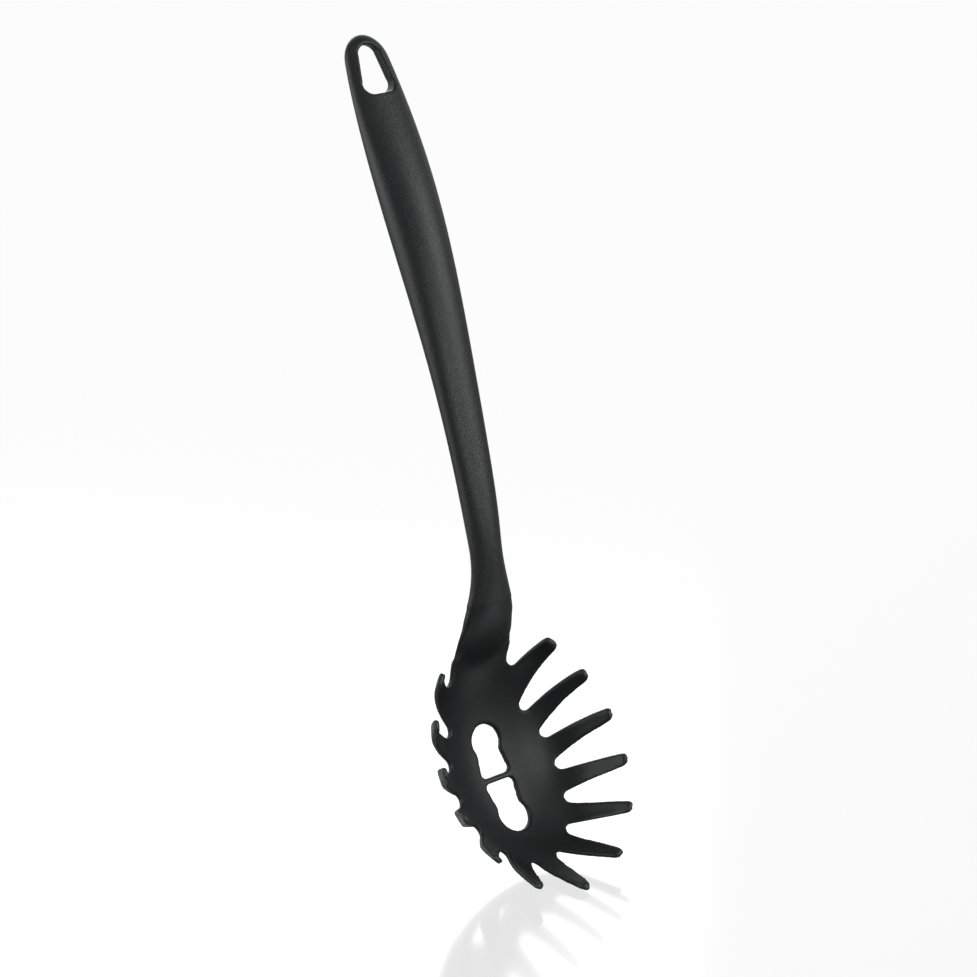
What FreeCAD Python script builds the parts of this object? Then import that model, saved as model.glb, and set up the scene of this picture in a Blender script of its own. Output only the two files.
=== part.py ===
"""Pasta server: a bowl with thirteen tines and two keyhole drain slots, whose tang sits in a moulded handle.

It hangs from its hole: the origin is the middle of the hang hole, +Z is up, the open bowl faces -Y, and
the part is mirrored about X = 0.
"""
import FreeCAD, Part
import math
import os
import Sketcher
from FreeCAD import Matrix, Placement, Rotation, Vector

# Driving dimensions, in millimetres and degrees
SIZES = {
    # skin of handle and neck, by stations: run below the last one, bow to the front, lean of the axis,
    # width, depth in front of the axis and behind it
    "eye_run": 0, "eye_bow": -2, "eye_lean": 8.5,
    "eye_width": 20.2, "eye_front": 4, "eye_back": 1.4,
    "grip_run": 43, "grip_bow": 4.5, "grip_lean": 6.6,
    "grip_width": 24.5, "grip_front": 7.5, "grip_back": 5.5,
    "shank_run": 52, "shank_bow": 9.2, "shank_lean": 2.7,
    "shank_width": 20.2, "shank_front": 6.5, "shank_back": 5,
    "waist_run": 63, "waist_bow": 9.3, "waist_lean": -5,
    "waist_width": 15.1, "waist_front": 5, "waist_back": 4.2,
    "joint_run": 36, "joint_bow": 4, "joint_lean": -16,
    "joint_width": 19.7, "joint_front": 3.8, "joint_back": 3.8,
    "bend_run": 12, "bend_bow": -2, "bend_lean": -36,
    "bend_width": 26, "bend_front": 2.4, "bend_back": 2.8,
    "cap_height": 12.8,
    # hang hole: a large arc on top, two small corner arcs below
    "hole_top": 9, "hole_top_radius": 4.9, "hole_bottom": 9, "hole_half_width": 6.65,
    "hole_corner_radius": 3.5, "hole_rim": 0.9,
    # tang inside the handle and the windows that key it
    "tang_wall_side": 3.4, "tang_wall_face": 2.6,
    "window_width": 3.2, "window_length": 14, "window_pitch": 24, "window_top": 3,
    # bowl: its lowest point below the bend and behind the hang hole, tilt of its axis above level, section
    "bowl_run": 47.7, "bowl_set_back": 14.7, "bowl_tilt": 9.5,
    "dish_radius": 48.1, "dish_angle": 24.3, "knee_radius": 31.6, "flare_angle": 64.7,
    "bowl_wall": 2.2, "tip_wall": 1.8,
    # sloping plane that the tines end on, and the tines in plan
    "tips_height": 26.5, "tips_tilt": 6.8,
    "tine_overrun": 8, "tine_end_width": 3.2, "tip_round": 1.4,
    # gaps between the tines, on an oval in plan, and the gap beside the neck
    "gaps_half_length": 35.1, "gaps_half_width": 25.2, "gaps_forward": 8.4, "gap_radius": 2.35,
    "neck_gap_beyond": 5.4, "strip_half_width": 13.45, "strip_rise": 6.6,
    # neck's seat in the bowl's wall
    "shoulder_rise": 3.6, "shoulder_thickness": 3.2, "root_depth": 5.4, "root_thickness": 1.2,
    # keyhole slots, mirrored about the bridge
    "bridge_forward": 8.1, "bridge_width": 2.2, "slot_eye_offset": 14.15, "slot_eye_radius": 6.4,
    "slot_waist_half": 5.25, "slot_end_half": 6.75, "slot_corner": 1.8,
}
BOWL_STRETCH_SHARE = 1.25
ROOT_WIDTH_SHARE = 0.9
TIPS_SPAN_SHARE = 0.768
GAPS_SPAN_SHARE = 0.82
CAP_ANGLES = (30, 55, 75, 86)
CAP_DEPTH_POWER = 0.8
STATIONS = ("eye", "grip", "shank", "waist", "joint", "bend")
WINDOW_COUNT = 3
TINES_PER_SIDE = 6

doc = FreeCAD.newDocument("pasta_server")
sheet = doc.addObject("Spreadsheet::Sheet", "sizes")
for row, (alias, value) in enumerate(SIZES.items(), start=1):
    sheet.set(f"A{row}", alias)
    sheet.set(f"B{row}", str(value))
    sheet.setAlias(f"B{row}", alias)
doc.recompute()


def size(alias):
    """The number in a cell of the sheet."""
    return float(sheet.get(alias))


def radians(alias):
    """An angle of the sheet in radians."""
    return math.radians(size(alias))


def runs_to(station):
    """The cells that add up to a station's drop below the hang hole."""
    return [name + "_run" for name in STATIONS[: STATIONS.index(station) + 1]]


def drop(station):
    """A station's drop below the hang hole."""
    return sum(size(alias) for alias in runs_to(station))


def new_sketch(body, name, role):
    """A sketch on one of its body's origin planes."""
    sketch = body.newObject("Sketcher::SketchObject", name)
    plane = next(feature for feature in body.Origin.OriginFeatures if feature.Role == role)
    sketch.AttachmentSupport = [(plane, "")]
    sketch.MapMode = "FlatFace"
    return sketch


def draw_loop(sketch, outline):
    """Adds a closed run of lines and arcs to a sketch and ties each end to the next start."""
    first = len(sketch.Geometry)
    sketch.addGeometry(outline, False)
    ties = []
    for index in range(len(outline)):
        edge = first + index
        follower = first + (index + 1) % len(outline)
        here = meeting_end(sketch, edge, follower)
        there = meeting_end(sketch, follower, edge)
        ties.append(Sketcher.Constraint("Coincident", edge, here, follower, there))
    sketch.addConstraint(ties)


def meeting_end(sketch, edge, other):
    """Which end of an edge, 1 for its start or 2 for its end, lies on an end of another edge."""
    far_ends = [sketch.getPoint(other, end) for end in (1, 2)]
    reaches = [
        min(sketch.getPoint(edge, end).distanceToPoint(far_end) for far_end in far_ends)
        for end in (1, 2)
    ]
    return 1 + reaches.index(min(reaches))


def lay_section(sketch, station):
    """Binds a section's place on the handle's axis to its cells: drop, bow to the front and lean."""
    runs = " + ".join("sizes." + alias for alias in runs_to(station))
    sketch.setExpression("AttachmentOffset.Base.y", f"-sizes.{station}_bow")
    sketch.setExpression("AttachmentOffset.Base.z", f"-({runs})")
    sketch.setExpression("AttachmentOffset.Rotation.Axis.x", "1")
    sketch.setExpression("AttachmentOffset.Rotation.Axis.z", "0")
    sketch.setExpression("AttachmentOffset.Rotation.Angle", f"-sizes.{station}_lean")


def oval_section(body, name, half_width, front, back):
    """A section of two half ellipses, the front one towards -Y, that share their width."""
    sketch = new_sketch(body, name, "XY_Plane")
    halves = ((front, math.pi, 2 * math.pi), (back, 0, math.pi))
    for depth, start, end in halves:
        oval = Part.Ellipse(Vector(), half_width, depth)
        sketch.addGeometry(Part.ArcOfEllipse(oval, start, end), False)
    return sketch


def crescent_section(body, name, half_width, sag, thickness):
    """A bent strip's section: its edges stand forward of its middle by the sag."""
    sketch = new_sketch(body, name, "XY_Plane")
    right = Vector(half_width, -sag, 0)
    left = Vector(-half_width, -sag, 0)
    front = Vector(0, -thickness / 2, 0)
    back = Vector(0, thickness / 2, 0)
    sketch.addGeometry([Part.Arc(left, front, right), Part.Arc(right, back, left)], False)
    return sketch


def wall_points(depth):
    """Bottom, start of the knee, start of the flare and the points between, at a depth under the inner face."""
    shallow, steep = radians("dish_angle"), radians("flare_angle")
    dish, knee = size("dish_radius"), size("knee_radius")
    points = []
    for turn in (0, shallow / 2, shallow, (shallow + steep) / 2, steep):
        bottom = min(turn, shallow)
        swing = Vector(math.sin(turn) - math.sin(bottom), math.cos(bottom) - math.cos(turn), 0)
        place = Vector(math.sin(bottom), -math.cos(bottom), 0) * (dish + depth) + swing * (knee + depth)
        points.append(place + Vector(0, dish, 0))
    return points


def wall_crossing(start, end):
    """Where a level or upright line in the bowl's section meets the inner face."""
    line = Part.LineSegment(start, end)
    crossing = next(edge.intersect(line)[0] for edge in inner_run if edge.intersect(line))
    return Vector(crossing.X, crossing.Y, 0)


def dish_height(side, forward):
    """Height of the bowl's inner face over its lowest point, at a place in plan."""
    radius = math.hypot(side, forward / BOWL_STRETCH_SHARE)
    return wall_crossing(Vector(radius, -size("bowl_wall"), 0), Vector(radius, inner_tip.y, 0)).y


def bowl_placement():
    """Sets the bowl, drawn flat with its axis up, into its place under the handle."""
    spot = Vector(0, size("bowl_set_back"), -drop("bend") - size("bowl_run"))
    return Placement(spot, Rotation(Vector(1, 0, 0), 90 - size("bowl_tilt")))


def neck_section(body, name, reach, half_width, thickness):
    """A section of the neck inside the bowl's wall, square to the wall where it lies up the bowl."""
    step = size("bowl_wall")
    slope = (dish_height(0, reach + step) - dish_height(0, reach - step)) / (2 * step)
    tilt = math.atan(slope)
    sag = (dish_height(half_width, reach) - dish_height(0, reach)) * math.cos(tilt)
    sketch = crescent_section(body, name, half_width, sag, thickness)
    sunk = size("bowl_wall") / 2 / math.cos(tilt)
    spot = Vector(0, reach, dish_height(0, reach) - sunk)
    upright = Rotation(Vector(1, 0, 0), math.degrees(tilt) - 90)
    sketch.AttachmentOffset = bowl_placement() * Placement(spot, upright)
    return sketch


# Dish: the bowl's wall turned about its axis, then drawn out along the head
inner = wall_points(0)
outer = wall_points(size("bowl_wall"))
flare = Vector(math.cos(radians("flare_angle")), math.sin(radians("flare_angle")), 0)
tips_rise = inner[-1].x * BOWL_STRETCH_SHARE * math.tan(radians("tips_tilt"))
rim_rise = size("tips_height") + tips_rise + size("tine_overrun") - inner[-1].y
inner_tip = inner[-1] + flare * (rim_rise / flare.y)
outer_tip = inner_tip + Vector(flare.y, -flare.x, 0) * size("tip_wall")
inner_run = [Part.Arc(*inner[:3]), Part.Arc(*inner[2:]), Part.LineSegment(inner[-1], inner_tip)]
dish = doc.addObject("PartDesign::Body", "dish")
dish_sketch = new_sketch(dish, "dish_profile", "YZ_Plane")
draw_loop(dish_sketch, inner_run + [
    Part.LineSegment(inner_tip, outer_tip),
    Part.LineSegment(outer_tip, outer[-1]),
    Part.Arc(*reversed(outer[2:])),
    Part.Arc(*reversed(outer[:3])),
    Part.LineSegment(outer[0], inner[0]),
])
dish_turn = dish.newObject("PartDesign::Revolution", "dish_turn")
dish_turn.Profile = dish_sketch
dish_turn.ReferenceAxis = (dish_sketch, ["V_Axis"])
dish_turn.Angle = 360
doc.recompute()
oval_dish = doc.addObject("Part::Scale", "oval_dish")
oval_dish.Base = dish
oval_dish.Uniform = False
oval_dish.YScale = BOWL_STRETCH_SHARE
doc.recompute()

# Skin: one loft from the top of the handle down to the neck's seat in the bowl
skin = doc.addObject("PartDesign::Body", "skin")
sections = []
for angle in reversed(CAP_ANGLES):
    taper_share = math.cos(math.radians(angle))
    depth_share = taper_share ** CAP_DEPTH_POWER
    cap = oval_section(
        skin,
        f"cap_{angle}",
        size("eye_width") / 2 * taper_share,
        size("eye_front") * depth_share,
        size("eye_back") * depth_share,
    )
    lay_section(cap, "eye")
    rise = f"sizes.cap_height * sin({angle} deg)"
    cap.setExpression("AttachmentOffset.Base.z", f"{rise} - sizes.eye_run")
    cap.setExpression("AttachmentOffset.Base.y", f"{rise} * tan(sizes.eye_lean * 1 deg) - sizes.eye_bow")
    sections.append(cap)
for station in STATIONS:
    half_width = size(station + "_width") / 2
    section = oval_section(skin, station, half_width, size(station + "_front"), size(station + "_back"))
    lay_section(section, station)
    sections.append(section)
strip_half = size("strip_half_width")
neck_gap_reach = size("gaps_half_length") - size("gaps_forward") + size("neck_gap_beyond")
shoulder_reach = neck_gap_reach + size("shoulder_rise")
root_reach = neck_gap_reach - size("root_depth")
sections.append(neck_section(skin, "shoulder", shoulder_reach, strip_half, size("shoulder_thickness")))
sections.append(neck_section(skin, "root", root_reach, strip_half * ROOT_WIDTH_SHARE, size("root_thickness")))
skin_loft = skin.newObject("PartDesign::AdditiveLoft", "skin_loft")
skin_loft.Profile = sections[0]
skin_loft.Sections = sections[1:]
doc.recompute()


def tangent_point(point, centre, radius, side):
    """Where a line from a point touches a circle; side +1 passes it on the right, -1 on the left."""
    towards = centre - point
    reach = math.sqrt(towards.Length**2 - radius**2)
    turn = side * math.asin(radius / towards.Length)
    along = Rotation(Vector(0, 0, 1), math.degrees(turn)).multVec(towards)
    along.normalize()
    return point + along * reach


def mirrored(point):
    """The same place on the other side of the part."""
    return Vector(-point.x, point.y, point.z)


def within_hole(box):
    """True for the walls of the hang hole."""
    margin = size("hole_rim")
    low_enough = box.ZMax < size("hole_top") + margin
    high_enough = box.ZMin > -size("hole_bottom") - margin
    side = size("hole_half_width") + margin
    return low_enough and high_enough and max(box.XMax, -box.XMin) < side


def bounding_edges(shape, faces, straight):
    """Numbers of a shape's straight or curved edges that bound the given faces."""
    bounds = [edge for face in faces for edge in face.Edges]
    return [
        number
        for number, edge in enumerate(shape.Edges, start=1)
        if (edge.Curve.TypeId == "Part::GeomLine") == straight
        and any(edge.isSame(bound) for bound in bounds)
    ]


# Hang hole: a pocket through the skin, seen from the front
hole_sketch = new_sketch(skin, "hole_outline", "XZ_Plane")
crown_centre = Vector(0, size("hole_top") - size("hole_top_radius"), 0)
corner_radius = size("hole_corner_radius")
corner_centre = Vector(size("hole_half_width") - corner_radius, corner_radius - size("hole_bottom"), 0)
across = corner_centre - crown_centre
lean_in = math.asin((size("hole_top_radius") - corner_radius) / across.Length)
outward = Rotation(Vector(0, 0, 1), 90 + math.degrees(lean_in)).multVec(across)
outward.normalize()
crown_side = crown_centre + outward * size("hole_top_radius")
corner_side = corner_centre + outward * corner_radius
corner_low = corner_centre - Vector(0, corner_radius, 0)
corner_mid = corner_centre + (outward - Vector(0, 1, 0)).normalize() * corner_radius
crown_top = crown_centre + Vector(0, size("hole_top_radius"), 0)
draw_loop(hole_sketch, [
    Part.Arc(crown_side, crown_top, mirrored(crown_side)),
    Part.LineSegment(mirrored(crown_side), mirrored(corner_side)),
    Part.Arc(mirrored(corner_side), mirrored(corner_mid), mirrored(corner_low)),
    Part.LineSegment(mirrored(corner_low), corner_low),
    Part.Arc(corner_low, corner_mid, corner_side),
    Part.LineSegment(corner_side, crown_side),
])
hang_hole = skin.newObject("PartDesign::Pocket", "hang_hole")
hang_hole.Profile = hole_sketch
hang_hole.Type = "ThroughAll"
hang_hole.Midplane = True
doc.recompute()
walls = [face for face in hang_hole.Shape.Faces if within_hole(face.BoundBox)]
hole_rim = skin.newObject("PartDesign::Fillet", "hole_rim")
hole_rim.Base = (hang_hole, [f"Edge{number}" for number in bounding_edges(hang_hole.Shape, walls, False)])
hole_rim.setExpression("Radius", "sizes.hole_rim")
skin.Tip = hole_rim
doc.recompute()

# Tang: a flat bar along the same axis, keyed by windows that the handle's plastic fills
tang = doc.addObject("PartDesign::Body", "tang")
tang_sections = []
for station in ("joint", "waist", "shank"):
    section = new_sketch(tang, "tang_at_" + station, "XY_Plane")
    half_width = size(station + "_width") / 2 - size("tang_wall_side")
    front = -size(station + "_front") + size("tang_wall_face")
    back = size(station + "_back") - size("tang_wall_face")
    corners = [
        Vector(half_width, front, 0),
        Vector(half_width, back, 0),
        Vector(-half_width, back, 0),
        Vector(-half_width, front, 0),
    ]
    draw_loop(section, [Part.LineSegment(a, b) for a, b in zip(corners, corners[1:] + corners[:1])])
    lay_section(section, station)
    tang_sections.append(section)
tang_loft = tang.newObject("PartDesign::AdditiveLoft", "tang_loft")
tang_loft.Profile = tang_sections[0]
tang_loft.Sections = tang_sections[1:]
doc.recompute()

window_sketch = new_sketch(tang, "window_outlines", "XZ_Plane")
half_width = size("window_width") / 2
straight = size("window_length") / 2 - half_width
for number in range(WINDOW_COUNT):
    top = Vector(0, -drop("shank") - size("window_top") - half_width - number * size("window_pitch"), 0)
    low = top - Vector(0, 2 * straight, 0)
    out = Vector(half_width, 0, 0)
    draw_loop(window_sketch, [
        Part.Arc(top + out, top + Vector(0, half_width, 0), top - out),
        Part.LineSegment(top - out, low - out),
        Part.Arc(low - out, low - Vector(0, half_width, 0), low + out),
        Part.LineSegment(low + out, top + out),
    ])
windows = tang.newObject("PartDesign::Pocket", "windows")
windows.Profile = window_sketch
windows.Type = "ThroughAll"
windows.Midplane = True
tang.Tip = windows
doc.recompute()


def oval_places(half_length, half_width, forward, span_shares):
    """Places on an oval of the plan, at shares of its right half's length from the front to the back."""
    stretch = Matrix()
    stretch.scale(half_width, half_length, 1)
    front_to_back = Part.makeCircle(1, Vector(), Vector(0, 0, 1), -90, 90)
    oval = front_to_back.transformGeometry(stretch).Edges[0]
    centre = Vector(0, -forward, 0)
    return [centre + oval.valueAt(oval.getParameterByLength(share * oval.Length)) for share in span_shares]


def gap_arc(start, centre, end):
    """The round end of a gap: bulges towards the bowl's middle."""
    inward = (start - centre) + (end - centre)
    if inward.dot(bridge - centre) < 0:
        inward = -inward
    return Part.Arc(start, centre + inward.normalize() * size("gap_radius"), end)


def mirrored_edge(edge):
    """A line or arc of the plan on the other side, run the other way."""
    ends = mirrored(edge.EndPoint), mirrored(edge.StartPoint)
    if isinstance(edge, Part.LineSegment):
        return Part.LineSegment(*ends)
    middle = edge.value((edge.FirstParameter + edge.LastParameter) / 2)
    return Part.Arc(ends[0], mirrored(middle), ends[1])


def rounded_corner(before, corner, after, radius):
    """The arc that rounds a corner between two straight edges."""
    back = (before - corner).normalize()
    on = (after - corner).normalize()
    half_angle = back.getAngle(on) / 2
    run = radius / math.tan(half_angle)
    bisector = (back + on).normalize()
    centre = corner + bisector * (radius / math.sin(half_angle))
    return Part.Arc(corner + back * run, centre - bisector * radius, corner + on * run)


def slot_outline(towards):
    """A keyhole slot on one side of the bridge: +1 lies towards the neck, -1 towards the front."""
    eye_radius = size("slot_eye_radius")
    waist_half = size("slot_waist_half")
    waist_offset = size("slot_eye_offset") - math.sqrt(eye_radius**2 - waist_half**2)
    end = bridge + Vector(0, towards * size("bridge_width") / 2, 0)
    waist = bridge + Vector(waist_half, towards * waist_offset, 0)
    corner = end + Vector(size("slot_end_half"), 0, 0)
    eye_end = bridge + Vector(0, towards * (size("slot_eye_offset") + eye_radius), 0)
    rounding = rounded_corner(waist, corner, end, size("slot_corner"))
    far_rounding = mirrored_edge(rounding)
    return [
        Part.LineSegment(waist, rounding.StartPoint),
        rounding,
        Part.LineSegment(rounding.EndPoint, far_rounding.StartPoint),
        far_rounding,
        Part.LineSegment(far_rounding.EndPoint, mirrored(waist)),
        Part.Arc(mirrored(waist), eye_end, waist),
    ]


# Plan of the head along the bowl's axis: tines, gaps, neck strip and drain slots
plan = doc.addObject("PartDesign::Body", "plan")
plan_sketch = new_sketch(plan, "plan_outline", "XY_Plane")
bridge = Vector(0, -size("bridge_forward"), 0)
level = Vector(0, size("tips_height"), 0)
tips_half_width = wall_crossing(level, level + Vector(inner_tip.x, 0, 0)).x
tips = oval_places(
    tips_half_width * BOWL_STRETCH_SHARE,
    tips_half_width,
    0,
    [TIPS_SPAN_SHARE * step / TINES_PER_SIDE for step in range(TINES_PER_SIDE + 1)],
)
gaps = oval_places(
    size("gaps_half_length"),
    size("gaps_half_width"),
    size("gaps_forward"),
    [GAPS_SPAN_SHARE * (step + 1 / 2) / TINES_PER_SIDE for step in range(TINES_PER_SIDE)],
)
radius = size("gap_radius")
gaps.append(Vector(strip_half + radius, neck_gap_reach, 0))
half_end = size("tine_end_width") / 2
right_run = []
for number, tip in enumerate(tips):
    gap_before = gaps[number - 1] if number else mirrored(gaps[0])
    along = (tip - (gap_before + gaps[number]) / 2).normalize()
    across = Vector(-along.y, along.x, 0)
    end = tip + along * size("tine_overrun")
    neck_corner = end + across * half_end
    front_corner = end - across * half_end
    neck_touch = tangent_point(neck_corner, gaps[number], radius, 1)
    if number:
        front_touch = tangent_point(front_corner, gap_before, radius, -1)
        right_run.append(gap_arc(last_touch, gap_before, front_touch))
        right_run.append(Part.LineSegment(front_touch, front_corner))
    right_run.append(Part.LineSegment(front_corner, neck_corner))
    right_run.append(Part.LineSegment(neck_corner, neck_touch))
    last_touch = neck_touch
strip_side = gaps[-1] - Vector(radius, 0, 0)
strip_top = strip_side + Vector(0, size("strip_rise"), 0)
right_run.append(gap_arc(last_touch, gaps[-1], strip_side))
right_run.append(Part.LineSegment(strip_side, strip_top))
left_run = [mirrored_edge(edge) for edge in reversed(right_run[1:])]
strip_end = Part.LineSegment(strip_top, mirrored(strip_top))
draw_loop(plan_sketch, right_run + [strip_end] + left_run)
for towards in (1, -1):
    draw_loop(plan_sketch, slot_outline(towards))
plan_pad = plan.newObject("PartDesign::Pad", "plan_pad")
plan_pad.Profile = plan_sketch
plan_pad.Midplane = True
plan_pad.setExpression("Length", "4 * sizes.tips_height")
doc.recompute()


def half_space(name, spot, turn):
    """A box whose top lies on a plane through a spot, turned about X; large enough to take in the head."""
    box = doc.addObject("Part::Box", name)
    reach = drop("bend") + size("bowl_run")
    box.Length = 2 * reach
    box.Width = 2 * reach
    box.Height = reach
    rotation = Rotation(Vector(1, 0, 0), turn)
    box.Placement = Placement(spot - rotation.multVec(Vector(reach, reach, reach)), rotation)
    doc.recompute()
    return box


def boolean(kind, name, base, tool):
    """A boolean of two objects, recomputed."""
    result = doc.addObject(kind, name)
    result.Base = base
    result.Tool = tool
    doc.recompute()
    return result


def tip_corners(shape):
    """Numbers of the straight edges where the tines' sides meet the plane of their tips."""
    upward = Rotation(Vector(1, 0, 0), -size("tips_tilt")).multVec(Vector(0, 0, 1))
    flats = [face for face in shape.Faces if face.Surface.TypeId == "Part::GeomPlane"]
    ends = [face for face in flats if face.normalAt(0, 0).dot(upward) > math.cos(math.pi / 4)]
    return bounding_edges(shape, ends, True)


# Bowl: the dish within the plan, under the sloping plane of the tine tips
tips_spot = Vector(0, 0, size("tips_height"))
below_tips = half_space("below_tips", tips_spot, -size("tips_tilt"))
low_dish = boolean("Part::Common", "low_dish", oval_dish, below_tips)
cut_dish = boolean("Part::Common", "cut_dish", low_dish, plan)
bowl = doc.addObject("Part::Fillet", "bowl")
bowl.Base = cut_dish
bowl.Edges = [(number, size("tip_round"), size("tip_round")) for number in tip_corners(cut_dish.Shape)]
bowl.Placement = bowl_placement()
doc.recompute()

# Joint: above its plane the skin is the handle, below it the skin is the head's neck
joint_spot = Vector(0, -size("joint_bow"), -drop("joint"))
below_joint = half_space("below_joint", joint_spot, -size("joint_lean"))
upper_skin = boolean("Part::Cut", "upper_skin", skin, below_joint)
handle = boolean("Part::Cut", "handle", upper_skin, tang)
neck = boolean("Part::Common", "neck", skin, below_joint)
head = doc.addObject("Part::MultiFuse", "head")
head.Shapes = [bowl, neck, tang]
head.Refine = False
doc.recompute()

# Checks and files
for item in doc.Objects:
    if "Invalid" in item.State or "Error" in item.State:
        raise RuntimeError(f"{item.Name} did not recompute")
os.makedirs("parts", exist_ok=True)
for part in (head, handle):
    part.Label = part.Name
    if part.Shape.isNull() or not part.Shape.isValid() or len(part.Shape.Solids) != 1:
        raise RuntimeError(f"{part.Label} is not one valid solid")
    part.Shape.exportStep(f"parts/{part.Label}.step")
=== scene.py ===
"""Pasta server: a grained grip on a smooth, tined head with rounded edges, in a white studio."""
import math
from bisect import bisect_left

import bmesh
import bpy
from bpy.props import FloatProperty, FloatVectorProperty, IntProperty, PointerProperty
from mathutils import Matrix, Vector


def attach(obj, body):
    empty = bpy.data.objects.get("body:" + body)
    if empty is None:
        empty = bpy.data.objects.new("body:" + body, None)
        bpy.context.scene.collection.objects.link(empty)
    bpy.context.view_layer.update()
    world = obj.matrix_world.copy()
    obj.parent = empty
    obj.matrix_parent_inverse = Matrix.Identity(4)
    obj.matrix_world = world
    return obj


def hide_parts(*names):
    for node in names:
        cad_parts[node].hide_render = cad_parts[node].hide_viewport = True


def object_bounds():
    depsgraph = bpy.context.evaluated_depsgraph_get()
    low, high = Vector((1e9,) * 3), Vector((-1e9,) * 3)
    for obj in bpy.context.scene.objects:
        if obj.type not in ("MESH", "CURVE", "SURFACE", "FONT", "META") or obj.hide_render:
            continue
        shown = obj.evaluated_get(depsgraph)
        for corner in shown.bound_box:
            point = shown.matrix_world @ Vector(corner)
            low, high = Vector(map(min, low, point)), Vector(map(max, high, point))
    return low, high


bl_info = {
    "name": "Pasta server",
    "version": (1, 0, 0),
    "blender": (4, 5, 0),
    "location": "3D View > Sidebar > Pasta server",
    "description": "Finishes and studio of a pasta server in two pieces, head and handle",
    "category": "Object",
}

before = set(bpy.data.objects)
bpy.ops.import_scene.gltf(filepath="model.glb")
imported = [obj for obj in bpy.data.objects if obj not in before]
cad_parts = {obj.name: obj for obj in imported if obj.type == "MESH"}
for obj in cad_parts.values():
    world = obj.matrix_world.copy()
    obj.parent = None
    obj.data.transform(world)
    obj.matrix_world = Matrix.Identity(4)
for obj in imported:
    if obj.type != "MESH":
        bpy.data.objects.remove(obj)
cad_box = [list(corner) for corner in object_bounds()]
middle = sum((Vector(corner) for corner in cad_box), Vector()) / 2


class HandleFinish(bpy.types.PropertyGroup):
    """Look of the grip's grained plastic."""

    colour: FloatVectorProperty(
        name="Colour",
        description="Black of the grip's plastic",
        subtype="COLOR",
        default=(0.007, 0.0085, 0.009),
        min=0,
        max=1,
    )
    roughness: FloatProperty(
        name="Roughness",
        description="Mean roughness of the satin surface",
        subtype="FACTOR",
        default=0.42,
        min=0,
        max=1,
    )
    grain_width: FloatProperty(
        name="Grain width",
        description="Width of one bump of the moulded grain",
        unit="LENGTH",
        default=0.0005,
        min=0.0001,
    )
    grain_depth: FloatProperty(
        name="Grain depth",
        description="Height of the moulded grain",
        unit="LENGTH",
        default=0.0001,
        min=0,
    )


class HeadFinish(bpy.types.PropertyGroup):
    """Look and edge rounding of the head."""

    colour: FloatVectorProperty(
        name="Colour",
        description="Black of the head's plastic",
        subtype="COLOR",
        default=(0.005, 0.0068, 0.0073),
        min=0,
        max=1,
    )
    # Painted highlight: a paler colour painted on the head's rounded edges, tine tips and slot
    # rims, where light would catch them
    edge_highlight_colour: FloatVectorProperty(
        name="Edge colour",
        description="Paler tone that rubbed edges of tines and slots have",
        subtype="COLOR",
        default=(0.02, 0.023, 0.024),
        min=0,
        max=1,
    )
    roughness: FloatProperty(
        name="Roughness",
        description="Mean roughness of the smooth surface",
        subtype="FACTOR",
        default=0.4,
        min=0,
        max=1,
    )
    mesh_step: FloatProperty(
        name="Mesh step",
        description="Width of the even mesh that the edges are rounded on",
        unit="LENGTH",
        default=0.00052,
        min=0.0003,
    )
    edge_passes: IntProperty(
        name="Edge passes",
        description="How often the even mesh is smoothed, which rounds the moulded edges",
        default=4,
        min=0,
    )
    tip_passes: IntProperty(
        name="Tip passes",
        description="How often the ends of the tines are smoothed, which rounds their tips",
        default=10,
        min=0,
    )
    neck_passes: IntProperty(
        name="Neck passes",
        description="How often the neck's seat is smoothed, which runs the neck into the bowl",
        default=180,
        min=0,
    )
    # Sets which curves get the painted edge highlight: edges rounder than this radius are painted
    # paler
    edge_radius: FloatProperty(
        name="Edge radius",
        description="Curves tighter than this count as rubbed edges",
        unit="LENGTH",
        default=0.0012,
        min=0.0001,
    )


class Studio(bpy.types.PropertyGroup):
    """Floor, light and lens of the white studio."""

    floor_lean: FloatProperty(
        name="Floor lean",
        description="Turn of the floor from the hanging server's level",
        subtype="ANGLE",
        default=math.radians(18),
    )
    floor_gap: FloatProperty(
        name="Floor gap",
        description="Room between the lowest tine and the floor",
        unit="LENGTH",
        default=0.001,
    )
    floor_width: FloatProperty(
        name="Floor width",
        description="Side of the square floor",
        unit="LENGTH",
        default=12,
    )
    gloss: FloatProperty(
        name="Gloss",
        description="Share of the floor's light that is mirrored",
        subtype="FACTOR",
        default=0.2,
        min=0,
        max=1,
    )
    room_light: FloatProperty(
        name="Room light",
        description="Brightness of the room behind the camera",
        default=0.16,
        min=0,
    )
    softbox_light: FloatProperty(
        name="Softbox light",
        description="Power of the softbox to the right, which the other lamps follow",
        unit="POWER",
        default=4.4,
        min=0,
    )
    lens: FloatProperty(
        name="Lens",
        description="Focal length, in millimetres on a 36 mm sensor",
        default=104.88,
        min=1,
    )


# The joint under the grip
JOINT_SPOT = Vector((0, -0.004, -0.194))
JOINT_UP = Vector((0, -0.2756, 0.9613))

# The plane of the tine tips, and how far below it the tines are rounded
TIPS_SPOT = Vector((0, -0.01144, -0.24933))
TIPS_UP = Vector((0, -0.9598, 0.2807))
TIP_ROUND = 0.006

# The neck's seat in the bowl, and the zone around it that is blended
NECK_SEAT_HEIGHT = -0.2135
NECK_BLEND = 0.014
NECK_HALF_WIDTH = 0.0145

# Depths below the joint, in mesh steps: smoothing ends, the rim's push starts, the push is full
SMOOTH_BELOW = 2
PUSH_FROM = 5
PUSH_FULL = 1

# Flow marks and fine speckle of the head's plastic
FLOW_WIDTH = 0.009
SPECKLE_WIDTH = 0.0012
SPECKLE_DEPTH = 0.000005
HEAD_SPECULAR = 0.4

# Curvature that still counts as flat, and how often the painted edge highlight's mask is evened
# out
FLAT_BEND = 0.3
EVENING_PASSES = 4


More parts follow.
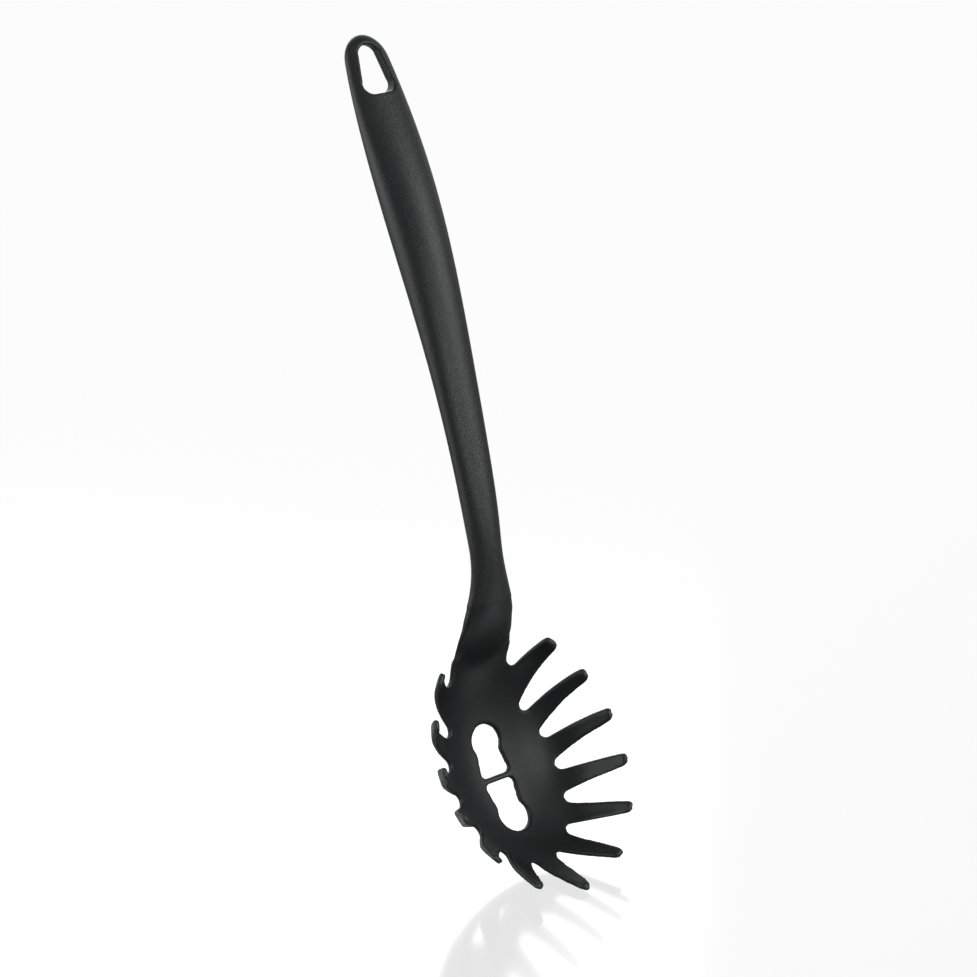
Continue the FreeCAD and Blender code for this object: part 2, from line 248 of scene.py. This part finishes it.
def add_node(tree, kind, **inputs):
    """A new node with its named sockets set."""
    made = tree.nodes.new(kind)
    for name, value in inputs.items():
        made.inputs[name.replace("_", " ")].default_value = value
    return made


def new_plastic(name):
    """An empty node material, its shader and the position of the surface on the piece."""
    material = bpy.data.materials.new(name)
    material.use_nodes = True
    tree = material.node_tree
    shader = tree.nodes["Principled BSDF"]
    place = tree.nodes.new("ShaderNodeTexCoord").outputs["Object"]
    return material, tree, shader, place


def add_noise(tree, place, width, detail):
    """Noise whose lumps have about the given width."""
    noise = add_node(tree, "ShaderNodeTexNoise", Scale=1 / width, Detail=detail, Roughness=0.6)
    tree.links.new(place, noise.inputs["Vector"])
    return noise.outputs["Fac"]


def add_range(tree, value, low, high):
    """Spreads the middle of a noise over a range."""
    spread = add_node(
        tree, "ShaderNodeMapRange", From_Min=0.3, From_Max=0.7, To_Min=low, To_Max=high
    )
    tree.links.new(value, spread.inputs["Value"])
    return spread.outputs["Result"]


def add_mix(tree, factor, first, second):
    """A colour between two, each a colour or a socket."""
    mix = tree.nodes.new("ShaderNodeMix")
    mix.data_type = "RGBA"
    tree.links.new(factor, mix.inputs["Factor"])
    for socket, colour in ((mix.inputs[6], first), (mix.inputs[7], second)):
        if isinstance(colour, bpy.types.NodeSocket):
            tree.links.new(colour, socket)
        else:
            socket.default_value = (*colour, 1)
    return mix.outputs[2]


def add_bump(tree, height, depth, shader):
    """Raises the shader's surface by a height pattern."""
    bump = add_node(tree, "ShaderNodeBump", Strength=1, Distance=depth)
    tree.links.new(height, bump.inputs["Height"])
    tree.links.new(bump.outputs["Normal"], shader.inputs["Normal"])


def shades(colour, spread):
    """A darker and a lighter shade of a colour."""
    return [value * (1 - spread) for value in colour], [value * (1 + spread) for value in colour]


def grained_plastic(look):
    """Satin black with a fine moulded grain and faint cloudiness."""
    material, tree, shader, place = new_plastic("grained_black_plastic")
    grain = add_noise(tree, place, look.grain_width, 2)
    clouds = add_noise(tree, place, look.grain_width * 24, 3)
    tone = add_mix(tree, add_range(tree, clouds, 0, 1), *shades(look.colour, 0.15))
    tree.links.new(tone, shader.inputs["Base Color"])
    rough = add_range(tree, grain, look.roughness - 0.05, look.roughness + 0.07)
    tree.links.new(rough, shader.inputs["Roughness"])
    add_bump(tree, grain, look.grain_depth, shader)
    return material


def smooth_plastic(look):
    """Smoother black with faint flow marks and a painted highlight: a paler colour on the rounded
    edges.
    """
    material, tree, shader, place = new_plastic("smooth_black_plastic")
    flow = add_noise(tree, place, FLOW_WIDTH, 4)
    speckle = add_noise(tree, place, SPECKLE_WIDTH, 2)
    # Mask of the painted edge highlight, from the curvature written onto the head
    painted_highlight = tree.nodes.new("ShaderNodeAttribute")
    painted_highlight.attribute_name = "painted_highlight"
    body = add_mix(tree, add_range(tree, flow, 0, 1), *shades(look.colour, 0.12))
    # Painted highlight: the paler colour is mixed into the edges along the mask
    tone = add_mix(tree, painted_highlight.outputs["Fac"], body, look.edge_highlight_colour)
    tree.links.new(tone, shader.inputs["Base Color"])
    rough = add_range(tree, speckle, look.roughness - 0.04, look.roughness + 0.04)
    tree.links.new(rough, shader.inputs["Roughness"])
    shader.inputs["Specular IOR Level"].default_value = HEAD_SPECULAR
    add_bump(tree, speckle, SPECKLE_DEPTH, shader)
    return material


def rounded_copy(context, name, node, look):
    """A copy of a node on an even mesh, softened so that its edges, tips and neck are round."""
    piece = bpy.data.objects.new(name, node.data.copy())
    context.scene.collection.objects.link(piece)
    piece.data.materials.clear()
    shape = bmesh.new()
    shape.from_mesh(piece.data)
    bmesh.ops.remove_doubles(shape, verts=shape.verts, dist=look.mesh_step / 100)
    shape.to_mesh(piece.data)
    shape.free()
    even = piece.modifiers.new("even_mesh", "REMESH")
    even.mode = "VOXEL"
    even.voxel_size = look.mesh_step
    evaluated = piece.evaluated_get(context.evaluated_depsgraph_get())
    finished = bpy.data.meshes.new_from_object(evaluated)
    piece.modifiers.clear()
    piece.data = finished
    shape = bmesh.new()
    shape.from_mesh(finished)
    limit = -SMOOTH_BELOW * look.mesh_step
    below_joint = [
        point for point in shape.verts if (point.co - JOINT_SPOT).dot(JOINT_UP) < limit
    ]
    soften(shape, below_joint, lambda point: 0, look.edge_passes)
    soften(shape, below_joint, tip_distance, look.tip_passes)
    soften(shape, below_joint, neck_distance, look.neck_passes)
    push_rim(shape, look.mesh_step)
    shape.to_mesh(finished)
    shape.free()
    finished.shade_smooth()
    return piece


def push_rim(shape, mesh_step):
    """Pushes the head's rounded rim one mesh step up into the grip, out of sight."""
    for point in shape.verts:
        depth = (JOINT_SPOT - point.co).dot(JOINT_UP) / mesh_step
        if -PUSH_FULL < depth < PUSH_FROM:
            share = min((PUSH_FROM - depth) / (PUSH_FROM - PUSH_FULL), 1)
            point.co += JOINT_UP * mesh_step * share


def soften(shape, points, distance, passes):
    """Smooths points nearer than a limit, which comes down from 1 to 0 with the passes."""
    ordered = sorted((point for point in points if distance(point) < 1), key=distance)
    reaches = [distance(point) for point in ordered]
    for step in range(passes):
        chosen = ordered[:bisect_left(reaches, 1 - step / passes)]
        bmesh.ops.smooth_vert(
            shape, verts=chosen, factor=0.5, use_axis_x=True, use_axis_y=True, use_axis_z=True
        )


def tip_distance(point):
    """Depth of a point below the plane of the tips, as a share of the rounded zone."""
    return (TIPS_SPOT - point.co).dot(TIPS_UP) / TIP_ROUND


def neck_distance(point):
    """Distance of a point from the neck's seat, as a share of the blended zone."""
    along = abs(point.co.z - NECK_SEAT_HEIGHT) / NECK_BLEND
    return max(along, abs(point.co.x) / NECK_HALF_WIDTH)


def mark_painted_highlight(piece, edge_radius):
    """Writes how sharply each point bulges outwards, from 0 on flats to 1 on edges, as the mask of
    the painted edge highlight.
    """
    shape = bmesh.new()
    shape.from_mesh(piece.data)
    shape.normal_update()
    # Mask of the painted highlight on the edges
    painted_highlight = shape.verts.layers.float.new("painted_highlight")
    bends = []
    neighbours = []
    for point in shape.verts:
        others = [edge.other_vert(point) for edge in point.link_edges]
        turns = [(other.normal - point.normal).dot(other.co - point.co) for other in others]
        lengths = [(other.co - point.co).length_squared for other in others]
        bends.append(sum(turns) / max(sum(lengths), 1e-12))
        neighbours.append([other.index for other in others] + [point.index])
    for _ in range(EVENING_PASSES):
        bends = [sum(bends[index] for index in near) / len(near) for near in neighbours]
    for point in shape.verts:
        point[painted_highlight] = min(max(bends[point.index] * edge_radius - FLAT_BEND, 0), 1)
    shape.to_mesh(piece.data)
    shape.free()


class ServerHandle(bpy.types.Operator):
    """Gives the grip its grained finish"""

    bl_idname = "pasta_server.handle"
    bl_label = "Finish handle"

    def execute(self, context):
        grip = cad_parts["handle"]
        grip.data.materials.clear()
        grip.data.materials.append(grained_plastic(context.scene.server_handle))
        return {"FINISHED"}


class ServerHead(bpy.types.Operator):
    """Builds the head with rounded edges and its smooth finish"""

    bl_idname = "pasta_server.head"
    bl_label = "Build head"

    def execute(self, context):
        look = context.scene.server_head
        shell = rounded_copy(context, "tined_head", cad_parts["head"], look)
        # Paints the mask of the paler edge highlight onto the head
        mark_painted_highlight(shell, look.edge_radius)
        shell.data.materials.append(smooth_plastic(look))
        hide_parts("head")
        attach(shell, "root")
        return {"FINISHED"}


# Camera of the photographed view: place, and its own up and backward directions
VIEW_PLACE = Vector((-0.61751, -0.81334, -0.04965))
VIEW_UP = Vector((0.22125, -0.04433, 0.97421))
VIEW_BACK = Vector((-0.6094, -0.78619, 0.10262))
VIEW_RIGHT = VIEW_UP.cross(VIEW_BACK)

# Middle of the bowl, for the lamps that light it
BOWL_SPOT = Vector((0, 0.01, -0.255))

# Lamps: name, target, direction in the view's axes, distance, width, height, share of the power
LAMPS = (
    ("right_softbox", middle, (0.93, 0.32, 0.27), 1.0, 0.5, 0.7, 1),
    ("left_softbox", middle, (-0.86, 0.15, 0.48), 1.0, 1.0, 1.0, 1.8),
    ("overhead", middle, (-0.2, 0.75, -0.65), 1.0, 0.7, 0.7, 1 / 2),
    ("top_fill", BOWL_SPOT, (0.17, 0.79, 0.58), 1.0, 0.5, 0.5, 1 / 9),
    ("bowl_lamp", BOWL_SPOT, (0.53, 0.25, 0.83), 0.4, 0.14, 0.14, 1 / 15),
)

# Middle of the white side of the room, in the view's axes, and how squarely to it white is full
WHITE_SIDE = (-0.35, 0.05, -0.93)
FULL_WHITE = 0.7

# Floor: its own grey, the share of white that the camera sees, roughness of the mirror image
FLOOR_GREY = (0.25, 0.25, 0.25, 1)
CAMERA_WHITE = 0.96
MIRROR_ROUGHNESS = 0.12


def from_view(right, up, back):
    """A direction given in the photographed view's own axes."""
    return (VIEW_RIGHT * right + VIEW_UP * up + VIEW_BACK * back).normalized()


def add_softbox(scene, name, target, direction, distance, width, height, power):
    """A rectangular lamp that faces a place on the server."""
    lamp = bpy.data.lights.new(name, "AREA")
    lamp.shape = "RECTANGLE"
    lamp.size = width
    lamp.size_y = height
    lamp.energy = power
    softbox = bpy.data.objects.new(name, lamp)
    softbox.location = target + direction * distance
    softbox.rotation_euler = direction.to_track_quat("Z", "Y").to_euler()
    scene.collection.objects.link(softbox)


def white_room(look):
    """A world white to the camera and behind the server on its left, dimmer elsewhere."""
    world = bpy.data.worlds.new("white_room")
    world.use_nodes = True
    tree = world.node_tree
    backdrop = tree.nodes["Background"]
    backdrop.inputs["Color"].default_value = (1, 1, 1, 1)
    direction = tree.nodes.new("ShaderNodeTexCoord").outputs["Generated"]
    facing = tree.nodes.new("ShaderNodeVectorMath")
    facing.operation = "DOT_PRODUCT"
    facing.inputs[1].default_value = from_view(*WHITE_SIDE)
    tree.links.new(direction, facing.inputs[0])
    fall = add_node(
        tree, "ShaderNodeMapRange", From_Max=FULL_WHITE, To_Min=look.room_light, To_Max=1
    )
    tree.links.new(facing.outputs["Value"], fall.inputs["Value"])
    camera_ray = tree.nodes.new("ShaderNodeLightPath").outputs["Is Camera Ray"]
    level = tree.nodes.new("ShaderNodeMath")
    level.operation = "MAXIMUM"
    tree.links.new(fall.outputs["Result"], level.inputs[0])
    tree.links.new(camera_ray, level.inputs[1])
    tree.links.new(level.outputs["Value"], backdrop.inputs["Strength"])
    return world


def white_floor(look):
    """White that keeps a soft shadow and a faint mirror image, clear from below."""
    material = bpy.data.materials.new("white_floor")
    material.use_nodes = True
    tree = material.node_tree
    matt = tree.nodes["Principled BSDF"]
    matt.inputs["Base Color"].default_value = FLOOR_GREY
    matt.inputs["Roughness"].default_value = 0.9
    glow = add_node(tree, "ShaderNodeEmission", Color=(1, 1, 1, 1), Strength=1)
    mirror = add_node(tree, "ShaderNodeBsdfGlossy", Color=(1, 1, 1, 1), Roughness=MIRROR_ROUGHNESS)
    clear = tree.nodes.new("ShaderNodeBsdfTransparent")
    path = tree.nodes.new("ShaderNodeLightPath")
    lit = tree.nodes.new("ShaderNodeMath")
    lit.operation = "MULTIPLY"
    lit.inputs[1].default_value = CAMERA_WHITE
    tree.links.new(path.outputs["Is Camera Ray"], lit.inputs[0])
    bright = tree.nodes.new("ShaderNodeMixShader")
    tree.links.new(lit.outputs["Value"], bright.inputs["Fac"])
    tree.links.new(matt.outputs["BSDF"], bright.inputs[1])
    tree.links.new(glow.outputs["Emission"], bright.inputs[2])
    polished = add_node(tree, "ShaderNodeMixShader", Fac=look.gloss)
    tree.links.new(bright.outputs["Shader"], polished.inputs[1])
    tree.links.new(mirror.outputs["BSDF"], polished.inputs[2])
    sided = tree.nodes.new("ShaderNodeMixShader")
    geometry = tree.nodes.new("ShaderNodeNewGeometry")
    tree.links.new(geometry.outputs["Backfacing"], sided.inputs["Fac"])
    tree.links.new(polished.outputs["Shader"], sided.inputs[1])
    tree.links.new(clear.outputs["BSDF"], sided.inputs[2])
    tree.links.new(sided.outputs["Shader"], tree.nodes["Material Output"].inputs["Surface"])
    return material


class ServerStage(bpy.types.Operator):
    """Sets up the floor, lamps, world and camera"""

    bl_idname = "pasta_server.stage"
    bl_label = "Set up studio"

    def execute(self, context):
        scene = context.scene
        look = scene.server_studio
        lean = Matrix.Rotation(look.floor_lean, 4, "X")
        upward = lean @ Vector((0, 0, 1))
        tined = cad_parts["head"].data
        low = min(point.co.dot(upward) for point in tined.vertices) - look.floor_gap
        ground = bmesh.new()
        bmesh.ops.create_grid(ground, x_segments=1, y_segments=1, size=look.floor_width / 2)
        place = Matrix.Translation(upward * low) @ lean
        bmesh.ops.transform(ground, matrix=place, verts=ground.verts)
        mesh = bpy.data.meshes.new("floor")
        ground.to_mesh(mesh)
        ground.free()
        mesh.materials.append(white_floor(look))
        floor = bpy.data.objects.new("floor", mesh)
        scene.collection.objects.link(floor)
        scene.world = white_room(look)
        power = look.softbox_light
        for name, target, direction, distance, width, height, share in LAMPS:
            toward = from_view(*direction)
            add_softbox(scene, name, target, toward, distance, width, height, power * share)
        lens = bpy.data.cameras.new("photo_view")
        lens.sensor_width = 36
        lens.lens = look.lens
        camera = bpy.data.objects.new("photo_view", lens)
        turn = Matrix((VIEW_RIGHT, VIEW_UP, VIEW_BACK)).transposed()
        camera.matrix_world = Matrix.Translation(VIEW_PLACE) @ turn.to_4x4()
        scene.collection.objects.link(camera)
        scene.camera = camera
        scene.view_settings.view_transform = "Standard"
        return {"FINISHED"}


class ServerPanel(bpy.types.Panel):
    """Lists the server's finishes and builds its pieces"""

    bl_idname = "VIEW3D_PT_pasta_server"
    bl_label = "Pasta server"
    bl_space_type = "VIEW_3D"
    bl_region_type = "UI"
    bl_category = "Pasta server"

    def draw(self, context):
        groups = (
            (ServerHandle, context.scene.server_handle),
            (ServerHead, context.scene.server_head),
            (ServerStage, context.scene.server_studio),
        )
        for operator, look in groups:
            box = self.layout.box()
            for name in look.__annotations__:
                box.prop(look, name)
            box.operator(operator.bl_idname)


CLASSES = (HandleFinish, HeadFinish, Studio, ServerHandle, ServerHead, ServerStage, ServerPanel)


def register():
    for kind in CLASSES:
        bpy.utils.register_class(kind)
    bpy.types.Scene.server_handle = PointerProperty(type=HandleFinish)
    bpy.types.Scene.server_head = PointerProperty(type=HeadFinish)
    bpy.types.Scene.server_studio = PointerProperty(type=Studio)


def unregister():
    del bpy.types.Scene.server_studio
    del bpy.types.Scene.server_head
    del bpy.types.Scene.server_handle
    for kind in reversed(CLASSES):
        bpy.utils.unregister_class(kind)


def main():
    register()
    bpy.ops.pasta_server.handle()
    bpy.ops.pasta_server.head()
    bpy.ops.pasta_server.stage()


if __name__ == "__main__":
    main()
